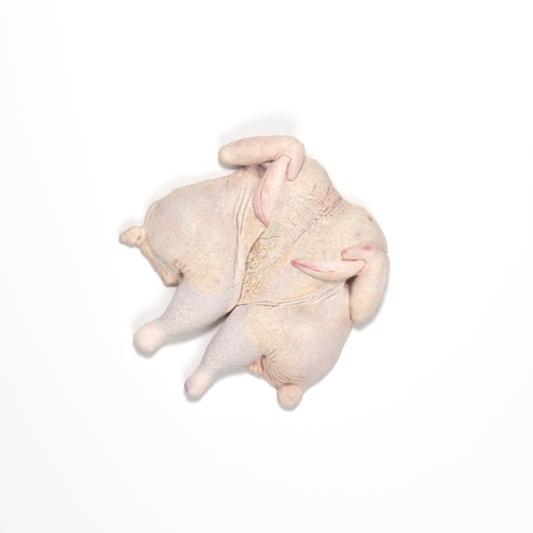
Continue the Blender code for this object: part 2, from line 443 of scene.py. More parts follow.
def wrinkle(path, depth, width, mark_colour=None, share=0.0, lips=0.45, fade=0.5):
    """A fine fold: the skin sinks along the line and stands up a little on both sides."""
    away, along = follow(path, width * 4)
    away = np.abs(away)
    ends = np.clip(np.minimum(along, 1 - along) * 2, 0, 1) ** fade
    ends = ends * (0.75 + 0.25 * np.sin(along * 19 + path[0][0]))
    line = np.exp(-((away / width) ** 2)) * ends
    lip = np.exp(-(((away - 1.9 * width) / width) ** 2)) * ends
    skin.push(depth * (lips * lip - line))
    if mark_colour is not None:
        skin.tint(mark_colour, share * line)


def fold(path, height, width, mark_colour=None, share=0.0, fade=0.5):
    """A standing fold of loose skin, steeper on its right, with a crease at its foot."""
    away, along = follow(path, width * 4)
    ends = np.clip(np.minimum(along, 1 - along) * 2, 0, 1) ** fade
    crest = np.exp(-((np.where(away > 0, away * 0.6, away * 1.3) / width) ** 2)) * ends
    foot = np.exp(-(((away + 1.5 * width) / (0.6 * width)) ** 2)) * ends
    skin.push(height * (crest - 0.5 * foot))
    if mark_colour is not None:
        skin.tint(mark_colour, share * crest)


def rows_down_sides(drop, seed):
    """The rows of feather pits, which run across the bird and go on down its sides."""
    along = skin.x + skin.out[:, 0] * drop + 1.5 * hills(30, seed)
    down = skin.y + skin.out[:, 1] * drop + 1.5 * hills(30, seed + 1)
    return along, down


skin = Skin(trunk_mesh())
x, y, z = skin.x, skin.y, skin.z
rows_u, rows_v = rows_down_sides(30.0 - z, 61)

# Where the thick fatty skin of the thigh ends in a ragged edge, and the leg's thin skin begins.
drum = np.zeros(len(x))
THIGH_SKIN_EDGES = (
    ("left", [(-64, -58), (-50, -62), (-36, -61), (-22, -55), (-12, -44), (-9, -30), (-4, -16)]),
    ("right", [(15, -30), (22, -33), (30, -46), (45, -58), (60, -62), (74, -60)]),
)
for side, edge in THIGH_SKIN_EDGES:
    line = curved(edge)
    bone, _ = follow([station[:2] for station in LEGS[side]], 60)
    down_leg = [-station[1] for station in LEGS[side]]
    half_leg = np.interp(-y, down_leg, [station[3] for station in LEGS[side]])
    ragged = 0.9 * hills(5, 11) + 1.2 * hills(14, 12)
    edge_y = np.interp(x, line[:, 0], line[:, 1])
    below = rise(edge_y - y + ragged, -1.6, 1.6)
    here = (x > edge[0][0] - 3) & (x < 10) if side == "left" else (x >= 9) & (x < edge[-1][0] + 3)
    here = here & ((z > 13) | (y < -86)) & (np.abs(bone) < half_leg + 3 * (y < -86))
    drum = np.maximum(drum, below * here)
hock = drum * rise(-y, 118, 134)
skirt = rise(-y, 56, 68) * (1 - drum) * rise(20 - z, 0, 6)
skirt = skirt * rise(x + 129, 0, 6) * rise(120 - x, 0, 6)
top = rise(skin.out[:, 2], 0.1, 0.7)

# The ground colours: cream where fat lies thick, grey and lilac where the meat shows through,
# with a few patches of painted light and shade marked below.
skin.colour[:] = pigment(237, 220, 206)
PATCHES = [
    # over the left thigh and flank
    ((-95, 0), (50, 58), 0, (226, 216, 211), 0.95),
    ((-90, 10), (20, 9), -10, (224, 205, 197), 0.7),
    # A lilac-white painted highlight on the left thigh.
    ((-101, 21), (7, 5), 0, (226, 220, 226), 0.7),
    ((-115, -18), (8, 10), 20, (218, 202, 204), 0.8),
    ((-128, -24), (12, 26), 0, (222, 211, 212), 0.8),
    ((-88, -6), (16, 7), 0, (236, 228, 220), 0.7),
    ((-60, -2), (18, 9), -25, (232, 223, 216), 0.7),
    ((-90, -30), (12, 8), 0, (222, 205, 190), 0.6),
    ((-118, 44), (14, 18), -20, (228, 212, 203), 0.7),
    ((-100, 44), (10, 12), 0, (238, 216, 210), 0.7),
    ((-48, -44), (32, 18), 0, (244, 224, 198), 1.0),
    # Painted light that lifts the lower edge of the left thigh.
    ((-92, -51), (34, 12), 0, (253, 238, 226), 0.85),
    ((-132, -46), (10, 12), 0, (246, 230, 220), 0.8),
    ((-98, 66), (18, 16), -20, (231, 208, 196), 0.8),
    ((-30, -32), (12, 12), 0, (241, 222, 208), 0.8),
    ((-26, -36), (8, 5), 0, (240, 208, 198), 0.5),
    # over the right thigh and flank
    ((104, -6), (44, 50), 0, (229, 217, 210), 0.95),
    ((92, -2), (18, 12), 10, (238, 230, 219), 0.8),
    ((116, 2), (14, 14), 0, (226, 220, 226), 0.8),
    ((92, -24), (18, 8), 15, (206, 193, 176), 0.75),
    ((60, -36), (22, 20), 0, (245, 224, 200), 0.95),
    ((94, -42), (22, 9), 0, (240, 222, 204), 0.8),
    ((128, -30), (16, 30), 0, (226, 205, 209), 0.9),
    ((144, -10), (8, 40), 0, (242, 224, 226), 0.8),
    ((130, -47), (12, 7), -40, (226, 186, 180), 0.5),
    # Painted shadow under the right flank's fold, where the thigh begins.
    ((74, 13), (18, 6), 20, (202, 172, 160), 0.7),
    ((100, 22), (14, 10), 0, (240, 222, 212), 0.8),
    ((124, 38), (16, 16), 0, (230, 204, 192), 0.8),
    ((130, 14), (10, 18), 0, (234, 221, 228), 0.8),
    ((104, -58), (28, 9), 0, (238, 200, 178), 0.8),
    ((84, -70), (12, 6), -20, (232, 176, 146), 0.8),
    ((82, -82), (18, 5), 0, (245, 226, 192), 0.9),
    ((96, 46), (7, 12), 10, (218, 214, 222), 0.8),
    # over the breast
    ((-34, 122), (22, 28), 0, (247, 227, 206), 0.85),
    ((-22, 88), (16, 24), 0, (234, 223, 208), 0.85),
    ((44, 128), (36, 24), 0, (250, 238, 222), 0.9),
    ((32, 90), (22, 22), 0, (236, 219, 201), 0.8),
    ((34, 14), (15, 26), 10, (229, 215, 208), 0.95),
    ((60, 34), (9, 22), -14, (246, 221, 190), 1.0),
    ((-43, 34), (11, 22), 20, (245, 217, 182), 1.0),
    ((-12, 24), (12, 34), 6, (238, 212, 188), 0.85),
    ((11, -14), (8, 20), -8, (240, 214, 186), 0.85),
    ((2, 134), (12, 12), 0, (232, 200, 191), 0.75),
    ((20, 130), (8, 12), 0, (236, 214, 208), 0.6),
    ((72, 84), (10, 16), 0, (228, 202, 190), 0.4),
    ((88, 134), (14, 8), -30, (238, 221, 216), 0.6),
    ((122, 112), (10, 26), 0, (230, 214, 208), 0.7),
    ((-80, 68), (10, 22), -25, (238, 224, 216), 0.7),
]
paint(PATCHES)
blotch(1 - 0.6 * drum, 131, [
    (24, (222, 206, 206), 0.55), (17, (236, 208, 196), 0.5), (20, (246, 231, 214), 0.5),
    (9, (226, 206, 196), 0.35), (7, (242, 230, 220), 0.35),
])
skin.tint((224, 216, 219), drum * 0.95)
# Painted light down the left side of the left drumstick.
shin_light = line_of([(-52, -70), (-46, -92), (-43, -112), (-48, -130)], 7, 0.2)
skin.tint((238, 230, 231), 0.8 * drum * shin_light)
skin.tint((228, 219, 217), drum * spot((-30, -94), 12, 26) * 0.7)
skin.tint((229, 221, 219), drum * spot((40, -112), 10, 14) * 0.7)
skin.tint((208, 197, 201), drum * spot((58, -70), 12, 14) * 0.8)
skin.tint((209, 200, 206), drum * spot((-38, -68), 14, 7) * 0.6)
# Painted shade on the left drumstick's edge beside the gap.
skin.tint((222, 202, 196), drum * spot((4, -62), 5, 26) * 0.5)
skin.tint((250, 234, 226), hock * 0.95)
skin.tint((231, 213, 214), hock * spot((44, -150), 16, 14) * 0.8)
skin.tint((238, 204, 178), skirt * 0.9)
skin.tint((249, 233, 202), skirt * rise(-0.25 * x - y, 96, 102) * (x > 0))
skin.tint((247, 222, 198), spot((-141, -71), 12, 13, -35) * 0.95)
skin.tint((231, 202, 186), spot((134, -74), 15, 14) * 0.9)
skin.tint((238, 212, 192), rise(9 - z, 0, 8) * (1 - drum) * 0.5)
left_groin = line_of([(-56, 14), (-38, -2), (-20, -20), (-8, -36), (-2, -50)], 5.5, 0.4)
right_groin = line_of([(30, -22), (22, -32), (17, -46)], 4.5, 0.4)
skin.tint((225, 216, 214), 0.75 * left_groin)
skin.tint((222, 212, 213), 0.7 * right_groin)

# The form: slow unevenness of the meat below, and the loose skin's own grain.
skin.push(0.8 * hills(60, 1) + 0.35 * hills(20, 2))
skin.push(0.10 * hills(7, 3) + 0.05 * hills(3.5, 4))
calm = (1 - drum) * top
breast = np.clip(spot((-14, 96), 44, 46) + spot((38, 96), 40, 46), 0, 1)
patchy = rise(hills(22, 73), -0.6, 1.2)
woven = creased(streaks(x, y, 2.6, 11, 70), 0.25) + creased(streaks(x, y, 12, 2.4, 71), 0.25)
skin.push(-0.20 * woven * calm * (0.2 + 0.8 * breast) * (0.3 + 0.7 * patchy))
skin.tint((206, 180, 166), 0.16 * woven * calm * (0.2 + 0.8 * breast))
crumpled = creased(hills(4.6, 74), 0.14) + 0.7 * creased(hills(9, 75), 0.08)
skin.push(-0.28 * crumpled * calm * (0.34 + 0.6 * breast * (1 - patchy)))
skin.tint((206, 180, 168), 0.18 * crumpled * calm * (0.5 + 0.5 * breast * (1 - patchy)))
pearls = rise(hills(2.9, 76), 0.5, 1.6) * calm * rise(hills(19, 77), -0.3, 1.0)
skin.push(0.24 * pearls)
skin.tint((244, 234, 226), 0.35 * pearls)

# The notch at the neck, and the pink gathered skin that runs down from it.
skin.push(-3.2 * spot((9, 144), 3.6, 8))
neck = spot((4, 134), 15, 14)
gathers = creased(streaks(x + 0.18 * (y - 120) * np.sign(8 - x), y, 1.9, 16, 72), 0.4)
skin.push(neck * 0.9 * (0.35 - gathers))
skin.tint((212, 150, 142), neck * gathers * 0.75)
skin.tint((236, 204, 198), neck * 0.4)
wrinkle([(-26, 138), (-23, 128), (-19, 121)], 0.9, 1.6, (232, 200, 192), 0.5)
wrinkle([(-13, 147), (-9, 138), (-4, 131)], 1.0, 1.4, (205, 140, 134), 0.5)
NECK_PULLS = [
    ((-7, 122.5), (2, 119.5), 1.2, (178, 74, 66)), ((5, 126), (5.5, 114), 1.3, (150, 60, 58)),
    ((8, 117), (11, 112), 1.1, (160, 62, 58)), ((8, 118.5), (17, 118.5), 0.9, (186, 92, 86)),
    ((9, 133), (8, 122), 0.9, (190, 110, 104)), ((0, 113), (7, 117), 0.8, (190, 120, 116)),
    ((3, 108), (9, 113), 0.8, (196, 140, 134)), ((12, 127), (9, 119), 0.8, (200, 140, 134)),
]
for start, end, depth, mark_colour in NECK_PULLS:
    middle = ((start[0] + end[0]) / 2 + 0.6, (start[1] + end[1]) / 2 + 0.5)
    wrinkle([start, middle, end], depth, 0.95, mark_colour, 0.85)

# Fine wrinkles pulled across the left breast, and small ones over the bone.
BREAST_WRINKLES = [
    ([(0, 119), (-8, 118), (-18, 113), (-30, 108), (-38, 107)], 0.8),
    ([(-2, 115), (-12, 112.5), (-24, 108), (-34, 103)], 0.6),
    ([(-10, 123), (-17, 121), (-24, 117)], 0.6),
    ([(0, 104), (-9, 104), (-19, 102), (-30, 98)], 0.4),
    ([(-2, 92), (-12, 91), (-22, 92.5)], 0.35),
    ([(-2, 82), (-12, 78), (-24, 80)], 0.5), ([(-4, 79), (-14, 75), (-22, 76)], 0.4),
    ([(3, 104), (8, 100), (10, 96)], 0.5), ([(-1, 100), (5, 101.5), (10, 106)], 0.5),
    ([(1, 90), (5, 92), (9, 90)], 0.4), ([(14, 101), (22, 104), (28, 108)], 0.3),
]
for path, depth in BREAST_WRINKLES:
    wrinkle(path, depth, 1.25, (216, 188, 176), 0.4)

# The line down the breast bone.
band = line_of([(7, 116), (5, 96), (4, 72), (3, 52), (4, 30), (1, 10), (0, -8)], 4.2, 0.3)
skin.tint((222, 206, 208), band * 0.55)
skin.push(-0.7 * band)
wrinkle([(8, 112), (6, 96), (6, 70), (7, 52), (7, 32), (4, 14), (1, -2), (0, -9)],
        0.5, 0.9, (196, 168, 168), 0.4, lips=0.3, fade=0.2)

# Thick crinkled skin over the tail end of the breast, with a torn edge on its left.
strip = np.clip(spot((-13, 22), 10, 36, 8) + 0.9 * spot((10, 30), 5, 36, -3)
                + spot((9, -18), 9, 17, -6), 0, 1)
bent = 1.6 * hills(10, 23)
upright = creased(streaks(x + 0.12 * y + bent, y, 1.9, 12, 21), 0.34)
slanted = creased(streaks(x - 0.6 * y + bent, y + 0.6 * x, 2.2, 9, 22), 0.26)
crinkle = np.clip(upright + 0.7 * slanted, 0, 1)
skin.tint((244, 222, 194), strip * 0.7)
skin.push(strip * (0.3 - 0.8 * crinkle))
skin.tint((204, 172, 134), strip * crinkle * 0.5)
rough = spot((-14, 3), 8, 12, 40)
skin.tint((142, 104, 68), rough * crinkle * 0.6)
skin.push(-0.6 * rough * crinkle)
flap = [(-30, 50), (-30, 42), (-28.5, 34), (-27.5, 26), (-24, 14), (-18, 4), (-8, -8)]
away, along = follow(flap, 12)
ends = rise(along, 0.0, 0.1) * rise(1 - along, 0.0, 0.15)
skin.push(1.7 * ends * np.where(away < 0, np.exp(away / 7.0), 0) * (np.abs(away) < 12))
ends = ends * np.interp(along, [0, 0.45, 0.6, 1], [1, 1, 0.35, 0.5])
torn = away - 1.1 + 0.8 * hills(4, 24)
skin.push(-1.3 * ends * np.exp(-((torn / 1.2) ** 2)))
skin.tint((176, 134, 100), ends * np.exp(-((torn / 1.1) ** 2)) * 0.6)
wrinkle([(-12, 55), (-17, 49), (-20, 43), (-24, 40), (-28, 36)], 1.2, 0.9, (140, 94, 56), 0.9)
thin = rise(6.0 - np.abs(x + 21 + 0.3 * (y - 52)), -2, 3) * rise(14 - np.abs(y - 53), -2, 4)
skin.tint((224, 217, 200), thin * 0.85)
skin.push(-0.5 * thin)
gold = spot((-24.8, 30.5), 2.8, 4.2, 14) + 0.9 * spot((-21, 26.5), 4.0, 2.0, -25)
skin.tint((188, 142, 52), np.clip(gold * 1.8, 0, 1))
skin.push(1.8 * gold)
skin.tint((206, 168, 84), spot((-24, 28.5), 1.2, 1.0))
skin.tint((104, 78, 60), 0.8 * spot((-25, 21.5), 2.2, 1.6) + 0.7 * spot((-22.5, 18), 1.3, 2.2))

# Long folds of skin drawn tight from each armpit down to where the legs meet. Their pale crests
# are painted highlight, and the grey and brown in most of the creases and the lilac-grey bands
# beside them are painted shade.
TIGHT = [
    # bright ridges over the left flank, then the band that they run into
    ([(-92, 72), (-84, 64), (-75, 49), (-69, 38), (-60, 26)], 0.8, 1.2),
    ([(-86, 80), (-81, 70), (-73.5, 56.5), (-66, 41.5), (-56, 28)], 1.1, 1.3),
    ([(-82.5, 78), (-75, 62.5), (-67.5, 47.5), (-58, 35), (-46, 22)], 1.1, 1.3),
    ([(-75, 78), (-66, 58), (-59, 43), (-50, 31), (-40, 20)], 0.9, 1.2),
    ([(-79, 70), (-71, 56), (-64, 44)], 0.6, 1.0),
    ([(-48, 27), (-38, 16), (-26, 3), (-12, -12), (0, -27), (7, -37)], 1.5, 3.2),
    ([(-56, 30), (-44, 16), (-30, 1), (-17, -13), (-5, -27)], 0.9, 1.6),
    # the right flank, from the wing's web down
    ([(86, 76), (82, 60), (78.5, 46), (75, 30), (67, 16)], 0.9, 1.3),
    ([(80, 70), (75.5, 54), (71, 36), (64, 20), (54, 6), (44, -6), (32, -17)], 1.2, 1.7),
    ([(75, 64), (71, 50), (66, 34), (58, 18), (48, 4), (38, -6)], 0.8, 1.3),
    ([(90, 62), (86, 48), (82, 34)], 0.7, 1.2),
    ([(57, 8), (51, 1), (46.5, -7), (44, -19)], 1.2, 1.5),
    ([(38, -9), (31, -17), (24, -25)], 1.0, 1.4),
]
# The pale tint on each crest is a painted highlight.
for path, height, width in TIGHT:
    fold(path, 0.8 * height, 1.15 * width, (246, 238, 234), 0.6, fade=0.6)
CREASES = [
    ([(-72, 52), (-66, 38), (-54, 26), (-42, 13.5), (-30, 1), (-20, -9)],
     1.2, 1.2, (178, 158, 156), 0.55),
    ([(-81, 52), (-75, 41), (-69, 33)], 0.6, 1.1, (204, 182, 180), 0.4),
    ([(-66, 50), (-57, 38), (-45, 20), (-36, 11)], 0.8, 1.0, (192, 172, 172), 0.45),
    ([(-27, 18), (-18, 7), (-9, -5), (-2, -15)], 1.2, 1.2, (184, 146, 126), 0.55),
    ([(-34, 22), (-26, 13), (-18, 4)], 0.6, 1.0, (206, 172, 152), 0.4),
    ([(48, -5), (42, -10.5), (36, -15), (25, -24)], 1.7, 0.95, (168, 92, 88), 0.85),
    ([(73, 44), (68.5, 28), (63, 16), (55, 4), (49, -4)], 1.0, 1.1, (190, 158, 156), 0.6),
    ([(83, 66), (79.5, 50), (77, 36)], 0.7, 1.0, (196, 176, 180), 0.5),
]
# The grey and brown tints in these creases are painted shade, all but the red crease on the
# right.
for path, depth, width, mark_colour, share in CREASES:
    wrinkle(path, depth, width, mark_colour, share)
# Lilac-grey bands of painted shade beside the folds.
skin.tint((216, 208, 214), 0.6 * line_of([(-62, 46), (-56, 36), (-47, 24)], 2.2))
skin.tint((214, 206, 214), 0.7 * line_of([(84, 70), (79, 56), (75, 42), (70, 30)], 3.0))
skin.tint((112, 60, 52), 0.85 * spot((47, -5.5), 1.9, 1.1, 40))

# The seams where the breast, both thighs and both drumsticks meet, their near-black brown painted
# shade, and the deep gap below them.
SEAMS = [
    ([(-9, -7), (-4, -14), (0, -20), (5, -26.5), (8.5, -33), (11, -42), (11, -50)], 2.2, 1.0),
    ([(21, -26), (18, -31), (14, -36), (11, -42), (11, -50)], 1.8, 0.9),
    ([(-1, -9), (0, -12), (-1.5, -15)], 1.4, 0.9),
]
for path, depth, width in SEAMS:
    wrinkle(path, depth, width, (88, 56, 46), 0.9, lips=0.3, fade=0.7)
half_gap = np.interp(-y, [40, 50, 62, 90], [0.2, 0.9, 1.6, 3.0])
gap = rise(half_gap - np.abs(x - 11.0), -0.7, 0.7) * (y < -40) * (y > -95)
skin.push(-5.0 * gap)

# The hollow under the left wing, with the skin gathered in it; its purple and maroon darkening is
# painted shade on that skin.
skin.push(-6.0 * spot((-88, 98), 11, 6, 12))
skin.push(-2.5 * spot((-102, 89), 5, 7, 30))
skin.tint((249, 240, 231), 0.85 * spot((-86, 79), 10, 12, -25))
# Purple and maroon painted shade in the hollow and along its edge.
skin.tint((166, 118, 138), np.clip(1.5 * spot((-87, 97.5), 12, 5.5, 10), 0, 1) * 0.95)
hollow_edge_shade = line_of([(-102, 87), (-96, 91.5), (-88, 93), (-79, 91)], 1.8, 0.2)
skin.tint((112, 62, 66), 0.8 * hollow_edge_shade)
skin.tint((134, 76, 74), 0.9 * spot((-102, 86), 4.6, 9, -22))
skin.tint((176, 122, 124), 0.7 * spot((-94, 91), 6, 2.5, 10))

# Under the right wing the hollow is a wedge between the hand and the forearm; its greyed and dark
# brown tints are painted shade.
left_side = np.interp(y, [60, 76, 90], [89, 84, 86])
right_side = np.interp(y, [60, 75, 89], [106, 96, 89])
across = (x - left_side) / (right_side - left_side)
wedge = rise(across, -0.1, 0.2) * rise(1 - across, -0.2, 0.1)
skin.push(-8.0 * wedge * rise(y, 64, 80) * (y < 92))
skin.tint((222, 214, 222), 0.7 * spot((92, 58), 8, 10, 10))
# Painted shade in the wedge: grey-lilac, and dark brown in its deepest part.
skin.tint((152, 118, 116), 0.85 * wedge * rise(y, 58, 76) * (y < 92))
skin.tint((132, 66, 54), wedge * rise(across, 0.1, 0.5) * rise(y, 66, 78) * (y < 92))
ARMPIT_WRINKLES = [
    [(-104, 90), (-102, 83), (-99, 76)], [(-100, 88), (-98, 82), (-96, 76)],
    [(-106, 84), (-104, 76), (-103, 66)], [(-108, 66), (-104, 58), (-102, 50)],
    [(-104, 62), (-100, 54), (-97, 48)],
]
for path in ARMPIT_WRINKLES:
    wrinkle(path, 0.5, 1.2, (200, 160, 152), 0.4)
# A reddish-brown painted shadow line along the forearm's lower edge, from the hollow.
under_elbow_shadow = [(93, 77), (98, 69), (105, 61), (113, 54), (121, 48), (128, 44)]
wrinkle(under_elbow_shadow, 1.2, 1.4, (150, 98, 86), 0.95, fade=0.3)

# The left thigh's skin turns under by the drumstick, in a hollow whose brown and dark core are
# painted shade; the red spot beside it is blood.
skin.push(-3.2 * spot((-64, -64.5), 3.6, 4))
# Brown painted shade in the hollow, darkest at its core.
skin.tint((176, 116, 84), 0.85 * spot((-64, -65.5), 4.4, 3.6, 20))
skin.tint((112, 60, 42), 0.75 * spot((-64.5, -65), 2.4, 1.8, 30))
skin.tint((206, 128, 120), 0.9 * spot((-79, -55), 2.2, 3.2))
skin.tint((186, 52, 50), np.clip(1.4 * spot((-68.5, -60.5), 2.0, 1.8), 0, 1))
skin.tint((205, 140, 134), 0.25 * spot((-78, -62), 9, 4))

# The right thigh's loose skin folds under itself beside the drumstick, in long curved rolls.
ROLLS = [
    ([(78, -65), (84, -69), (90, -73), (97, -76)], 2.0, 1.5),
    ([(81, -60), (86, -67), (96, -72.5), (111, -73.5), (120, -72)], 2.4, 1.7),
    ([(87, -60), (95, -67.5), (108, -70.5), (120, -67.5), (128, -62)], 1.9, 1.5),
    ([(93, -61.5), (105, -66), (118, -63), (128, -55)], 1.7, 1.4),
    ([(99, -60), (109, -62), (121, -58.5), (134, -48)], 1.5, 1.4),
    ([(114, -55), (121, -53), (128, -48), (136, -41)], 1.1, 1.3),
    ([(84, -63), (93, -70.5), (104, -74.5), (114, -76)], 1.4, 1.2),
]
skin.tint((242, 204, 178), 0.6 * spot((94, -70), 22, 8, 8))
for path, depth, width in ROLLS:
    wrinkle(path, 0.5 * depth, width, (222, 172, 152), 0.45, lips=0.6, fade=0.6)
# Orange-brown painted shadow cast by the fold along the rolls' root, and painted shade in the
# small hollow at its end.
roll_root_shadow = line_of([(77, -60), (79, -65), (86, -71), (94, -75)], 2.0)
skin.tint((190, 108, 72), 0.9 * roll_root_shadow)
wrinkle([(77, -61), (79, -66), (86, -72), (95, -76)], 1.4, 1.6, lips=0.5, fade=0.4)
skin.push(-2.4 * spot((79, -62), 3.5, 3.5))
skin.tint((120, 70, 56), 0.7 * spot((79, -61.5), 2.6, 2.0, -30))

# Short pleats where the thighs' skin is drawn to the drumsticks, in a short row.
PLEATS = [
    ([(82, -43), (81.5, -50), (80.5, -58)], 1.0, 1.0, 0.55),
    ([(86.5, -50), (86.5, -54), (86, -59)], 0.9, 0.9, 0.5),
    ([(92.5, -53), (91, -56), (89, -60)], 0.8, 0.9, 0.45),
    ([(75, -48), (76, -53), (77, -58)], 0.5, 0.9, 0.3),
    ([(-73.5, -51), (-72.5, -55), (-71, -59)], 0.9, 1.0, 0.45),
    ([(-68, -49), (-68, -54), (-68, -59)], 1.0, 1.0, 0.5),
    ([(-60, -49), (-60.5, -54), (-61.5, -59)], 0.6, 1.0, 0.35),
    ([(-84, -57), (-79, -60), (-72, -62)], 0.6, 1.2, 0.35),
]
for path, depth, width, share in PLEATS:
    wrinkle(path, depth, width, (190, 130, 108), share)

# Loose hems: the skirt between each leg and the tail, and the thin rim beside the left thigh.
sagging = 0.5 * x + y + 0.7 * z + 4.0 * hills(11, 97)
hems = creased(streaks(sagging, x, 4.2, 22, 95), 0.26) * skirt
skin.push(1.2 * skirt * hills(11, 96) - 0.6 * hems)
skin.tint((214, 166, 142), hems * 0.3)
skirt_root = [(-66, -67), (-80, -68.5), (-94, -67), (-106, -67.5), (-122, -62), (-134, -54)]
wrinkle(skirt_root, 1.0, 2.2, (226, 188, 164), 0.45, fade=0.7)
wrinkle([(-144, 2), (-143.5, -20), (-140, -40), (-133, -56)], 0.7, 1.7, (226, 208, 200), 0.45)
wrinkle([(-136, 30), (-140, 8), (-143, -8)], 1.0, 1.4, (224, 196, 182), 0.4)

# The gap between the tops of the drumsticks is painted dark as shade, and the painted shade is
# paler where it runs down to the board.
skin.tint((184, 140, 120), gap)
skin.tint((128, 60, 46), gap * rise(z, 4, 13) * (1 - 0.6 * rise(-y, 60, 72)))

# The two halves of the tail, with the creases where the skin was cut round them.
for nub, seed in (((134, -74), 98), ((-141, -72), 99)):
    near = spot(nub, 17, 17)
    skin.push(near * (0.9 * hills(9, seed) - 0.5 * creased(hills(6, seed + 10), 0.12)))
skin.push(3.2 * spot((140, -59), 9, 9) + 2.0 * spot((-139, -60), 7, 8))
wrinkle([(133, -55), (126, -62), (121, -70), (118, -78)], 1.3, 1.8, (214, 156, 146), 0.6)
# Pink painted shade on the left side of the right tail half.
skin.tint((222, 168, 160), 0.6 * spot((123, -72), 5, 9, -20))
wrinkle([(-140, -58), (-133, -64), (-130, -72), (-131, -80)], 1.0, 1.6, (214, 160, 140), 0.5)

# The drumsticks' cut ends: two knuckles with a groove between them, and gristle round them.
for hock_x, shift in ((-37.4, 0.0), (45.6, 1.5)):
    end = drum * rise(-y, 148, 155) * spot((hock_x, -158), 20, 14)
    knuckles = 1.1 * np.cos((x - hock_x - shift) / 5.5) ** 2
    skin.push(end * (knuckles - 0.5 * np.exp(-(((z - 14) / 4.0) ** 2)) - 0.3))
    skin.tint((236, 212, 208), end * 0.5)
    skin.tint((228, 196, 190), end * 0.3 * np.exp(-(((z - 13) / 5.0) ** 2)))

# Small marks: blood by the neck, dark specks, red at the knees, yellow fat on the cut edge.
paint([
    ((51.5, 148.5), (3.6, 1.5), -8, (176, 60, 52), 0.95),
    ((43, 146), (1.6, 1.4), 0, (214, 150, 130), 0.5),
    ((54, 124), (3, 3.5), 0, (196, 160, 120), 0.6),
    ((65, 118), (1.5, 1.2), 0, (120, 90, 84), 0.85),
    ((40, 80), (1.1, 1.1), 0, (110, 95, 90), 0.85),
    ((-24, 153), (5, 2.5), 0, (224, 170, 160), 0.7),
])
yellow_fat = line_of([(27, 149), (34, 154), (42, 155.5), (56, 154.5)], 2.6)
skin.tint((248, 228, 158), rise(z, 6, 20) * 0.75 * yellow_fat)
red_knee = spot((-26, -36), 4, 3) + spot((-12, -30), 1.6, 1.6) + spot((-30, -47), 4, 3)
skin.tint((205, 140, 134), 0.3 * red_knee)
skin.tint((206, 186, 202), 0.7 * drum * spot((36, -149), 6, 6))
bruise = line_of([(30, -150), (36, -154.5), (43, -158)], 1.8, 0.2)
skin.tint((128, 84, 104), 0.85 * drum * rise(z, 9, 16) * bruise)

# Goose bumps, high on the lower drumsticks and flat elsewhere.
PIT_SPACING = 4.9
pits = follicles(rows_u, rows_v, PIT_SPACING, 3.0, 0.42)
bump = np.exp(-((pits / 1.5) ** 2))
lower_leg = drum * rise(-y, 70, 100) * (1 - 0.75 * hock)
skin.push(bump * (0.08 + 0.44 * lower_leg + 0.22 * drum))
# A pale painted highlight on the tops of the bumps, strongest on the lower drumsticks.
skin.tint((240, 234, 234), bump * (0.14 * drum + 0.30 * lower_leg))
skin.tint((226, 190, 182), rise(hills(16, 31), 0.5, 1.8) * 0.4 * (1 - drum))
skin.tint((210, 206, 212), rise(hills(26, 32), 0.7, 2.0) * 0.3)
skin.tint((230, 206, 208), rise(hills(12, 33), 0.6, 1.8) * 0.3 * drum)

# Open feather pits show most in the fatty skin of the thighs and flanks.
spread = rise(wander(np.column_stack([x, y]), 26, 35), -0.6, 1.2)
fatty = np.clip(spot((-62, -34), 54, 30) + spot((80, -32), 48, 30)
                + spot((-42, 32), 12, 24, 20) + spot((60, 34), 10, 26, -14), 0, 1)
pitted = (1 - drum) * (1 - 0.7 * strip) * (0.45 * spread + 0.65 * fatty)
pitted = pitted + 0.12 * drum * (1 - hock)
skin.settle()


def hollows(skin, rounds):
    """How far each point lies under the mean of the skin about it, in millimetres."""
    mesh = skin.mesh
    ends = np.empty(len(mesh.edges) * 2, np.int32)
    mesh.edges.foreach_get("vertices", ends)
    a, b = ends.reshape(-1, 2).T
    count = np.bincount(ends, minlength=len(skin.points))
    mean = skin.points.copy()
    for _ in range(rounds):
        total = np.empty_like(mean)
        for axis in range(3):
            total[:, axis] = np.bincount(a, mean[b, axis], len(mean))
            total[:, axis] += np.bincount(b, mean[a, axis], len(mean))
        mean = (mean + total / count[:, None]) / 2
    return ((mean - skin.points) * skin.out).sum(1)


# How deep a crease or a valley is, in millimetres, where it has its full painted shade, and how
# high a crest is where it has its full painted highlight.
CREASE_DEPTH = 0.26
VALLEY_DEPTH = 2.0
CREST_HEIGHT = 0.30


def paint_fold_shade(skin):
    """Painted shade that darkens and reddens the creases and valleys, where blood also gathers,
    and a pale painted highlight on the stretched crests.
    """
    fine = hollows(skin, 5)
    broad = hollows(skin, 40)
    skin.shade(np.clip(fine / CREASE_DEPTH, 0, 1) * 0.75)
    skin.shade(np.clip(broad / VALLEY_DEPTH, 0, 1) * 0.5)
    skin.tint((252, 240, 230), np.clip(-fine / CREST_HEIGHT, 0, 1) * 0.35)


# What the wet film lets through of red, green and blue.
WET_FILM = (0.975, 0.955, 0.925)


def keep_looks(skin, rows_u, rows_v, pitted, lined):
    """Stores on the mesh its colour, its rows of pits and how much pits and lines show."""
    mesh = skin.mesh
    looks = mesh.attributes.new("skin_colour", "FLOAT_COLOR", "POINT")
    full = np.ones((len(skin.points), 4), np.float32)
    full[:, :3] = np.clip(skin.colour * WET_FILM, 0, 1)
    looks.data.foreach_set("color", full.ravel())
    rows = mesh.attributes.new("pit_rows", "FLOAT_VECTOR", "POINT")
    place_in_rows = np.zeros((len(skin.points), 3), np.float32)
    place_in_rows[:, 0] = rows_u * MM
    place_in_rows[:, 1] = rows_v * MM
    rows.data.foreach_set("vector", place_in_rows.ravel())
    for name, share in (("pitted", pitted), ("lined", lined)):
        shown = mesh.attributes.new(name, "FLOAT", "POINT")
        share = np.clip(np.broadcast_to(share, len(skin.points)), 0, 1).astype(np.float32)
        shown.data.foreach_set("value", share)
    mesh.polygons.foreach_set("use_smooth", np.ones(len(mesh.polygons), bool))
    mesh.update()


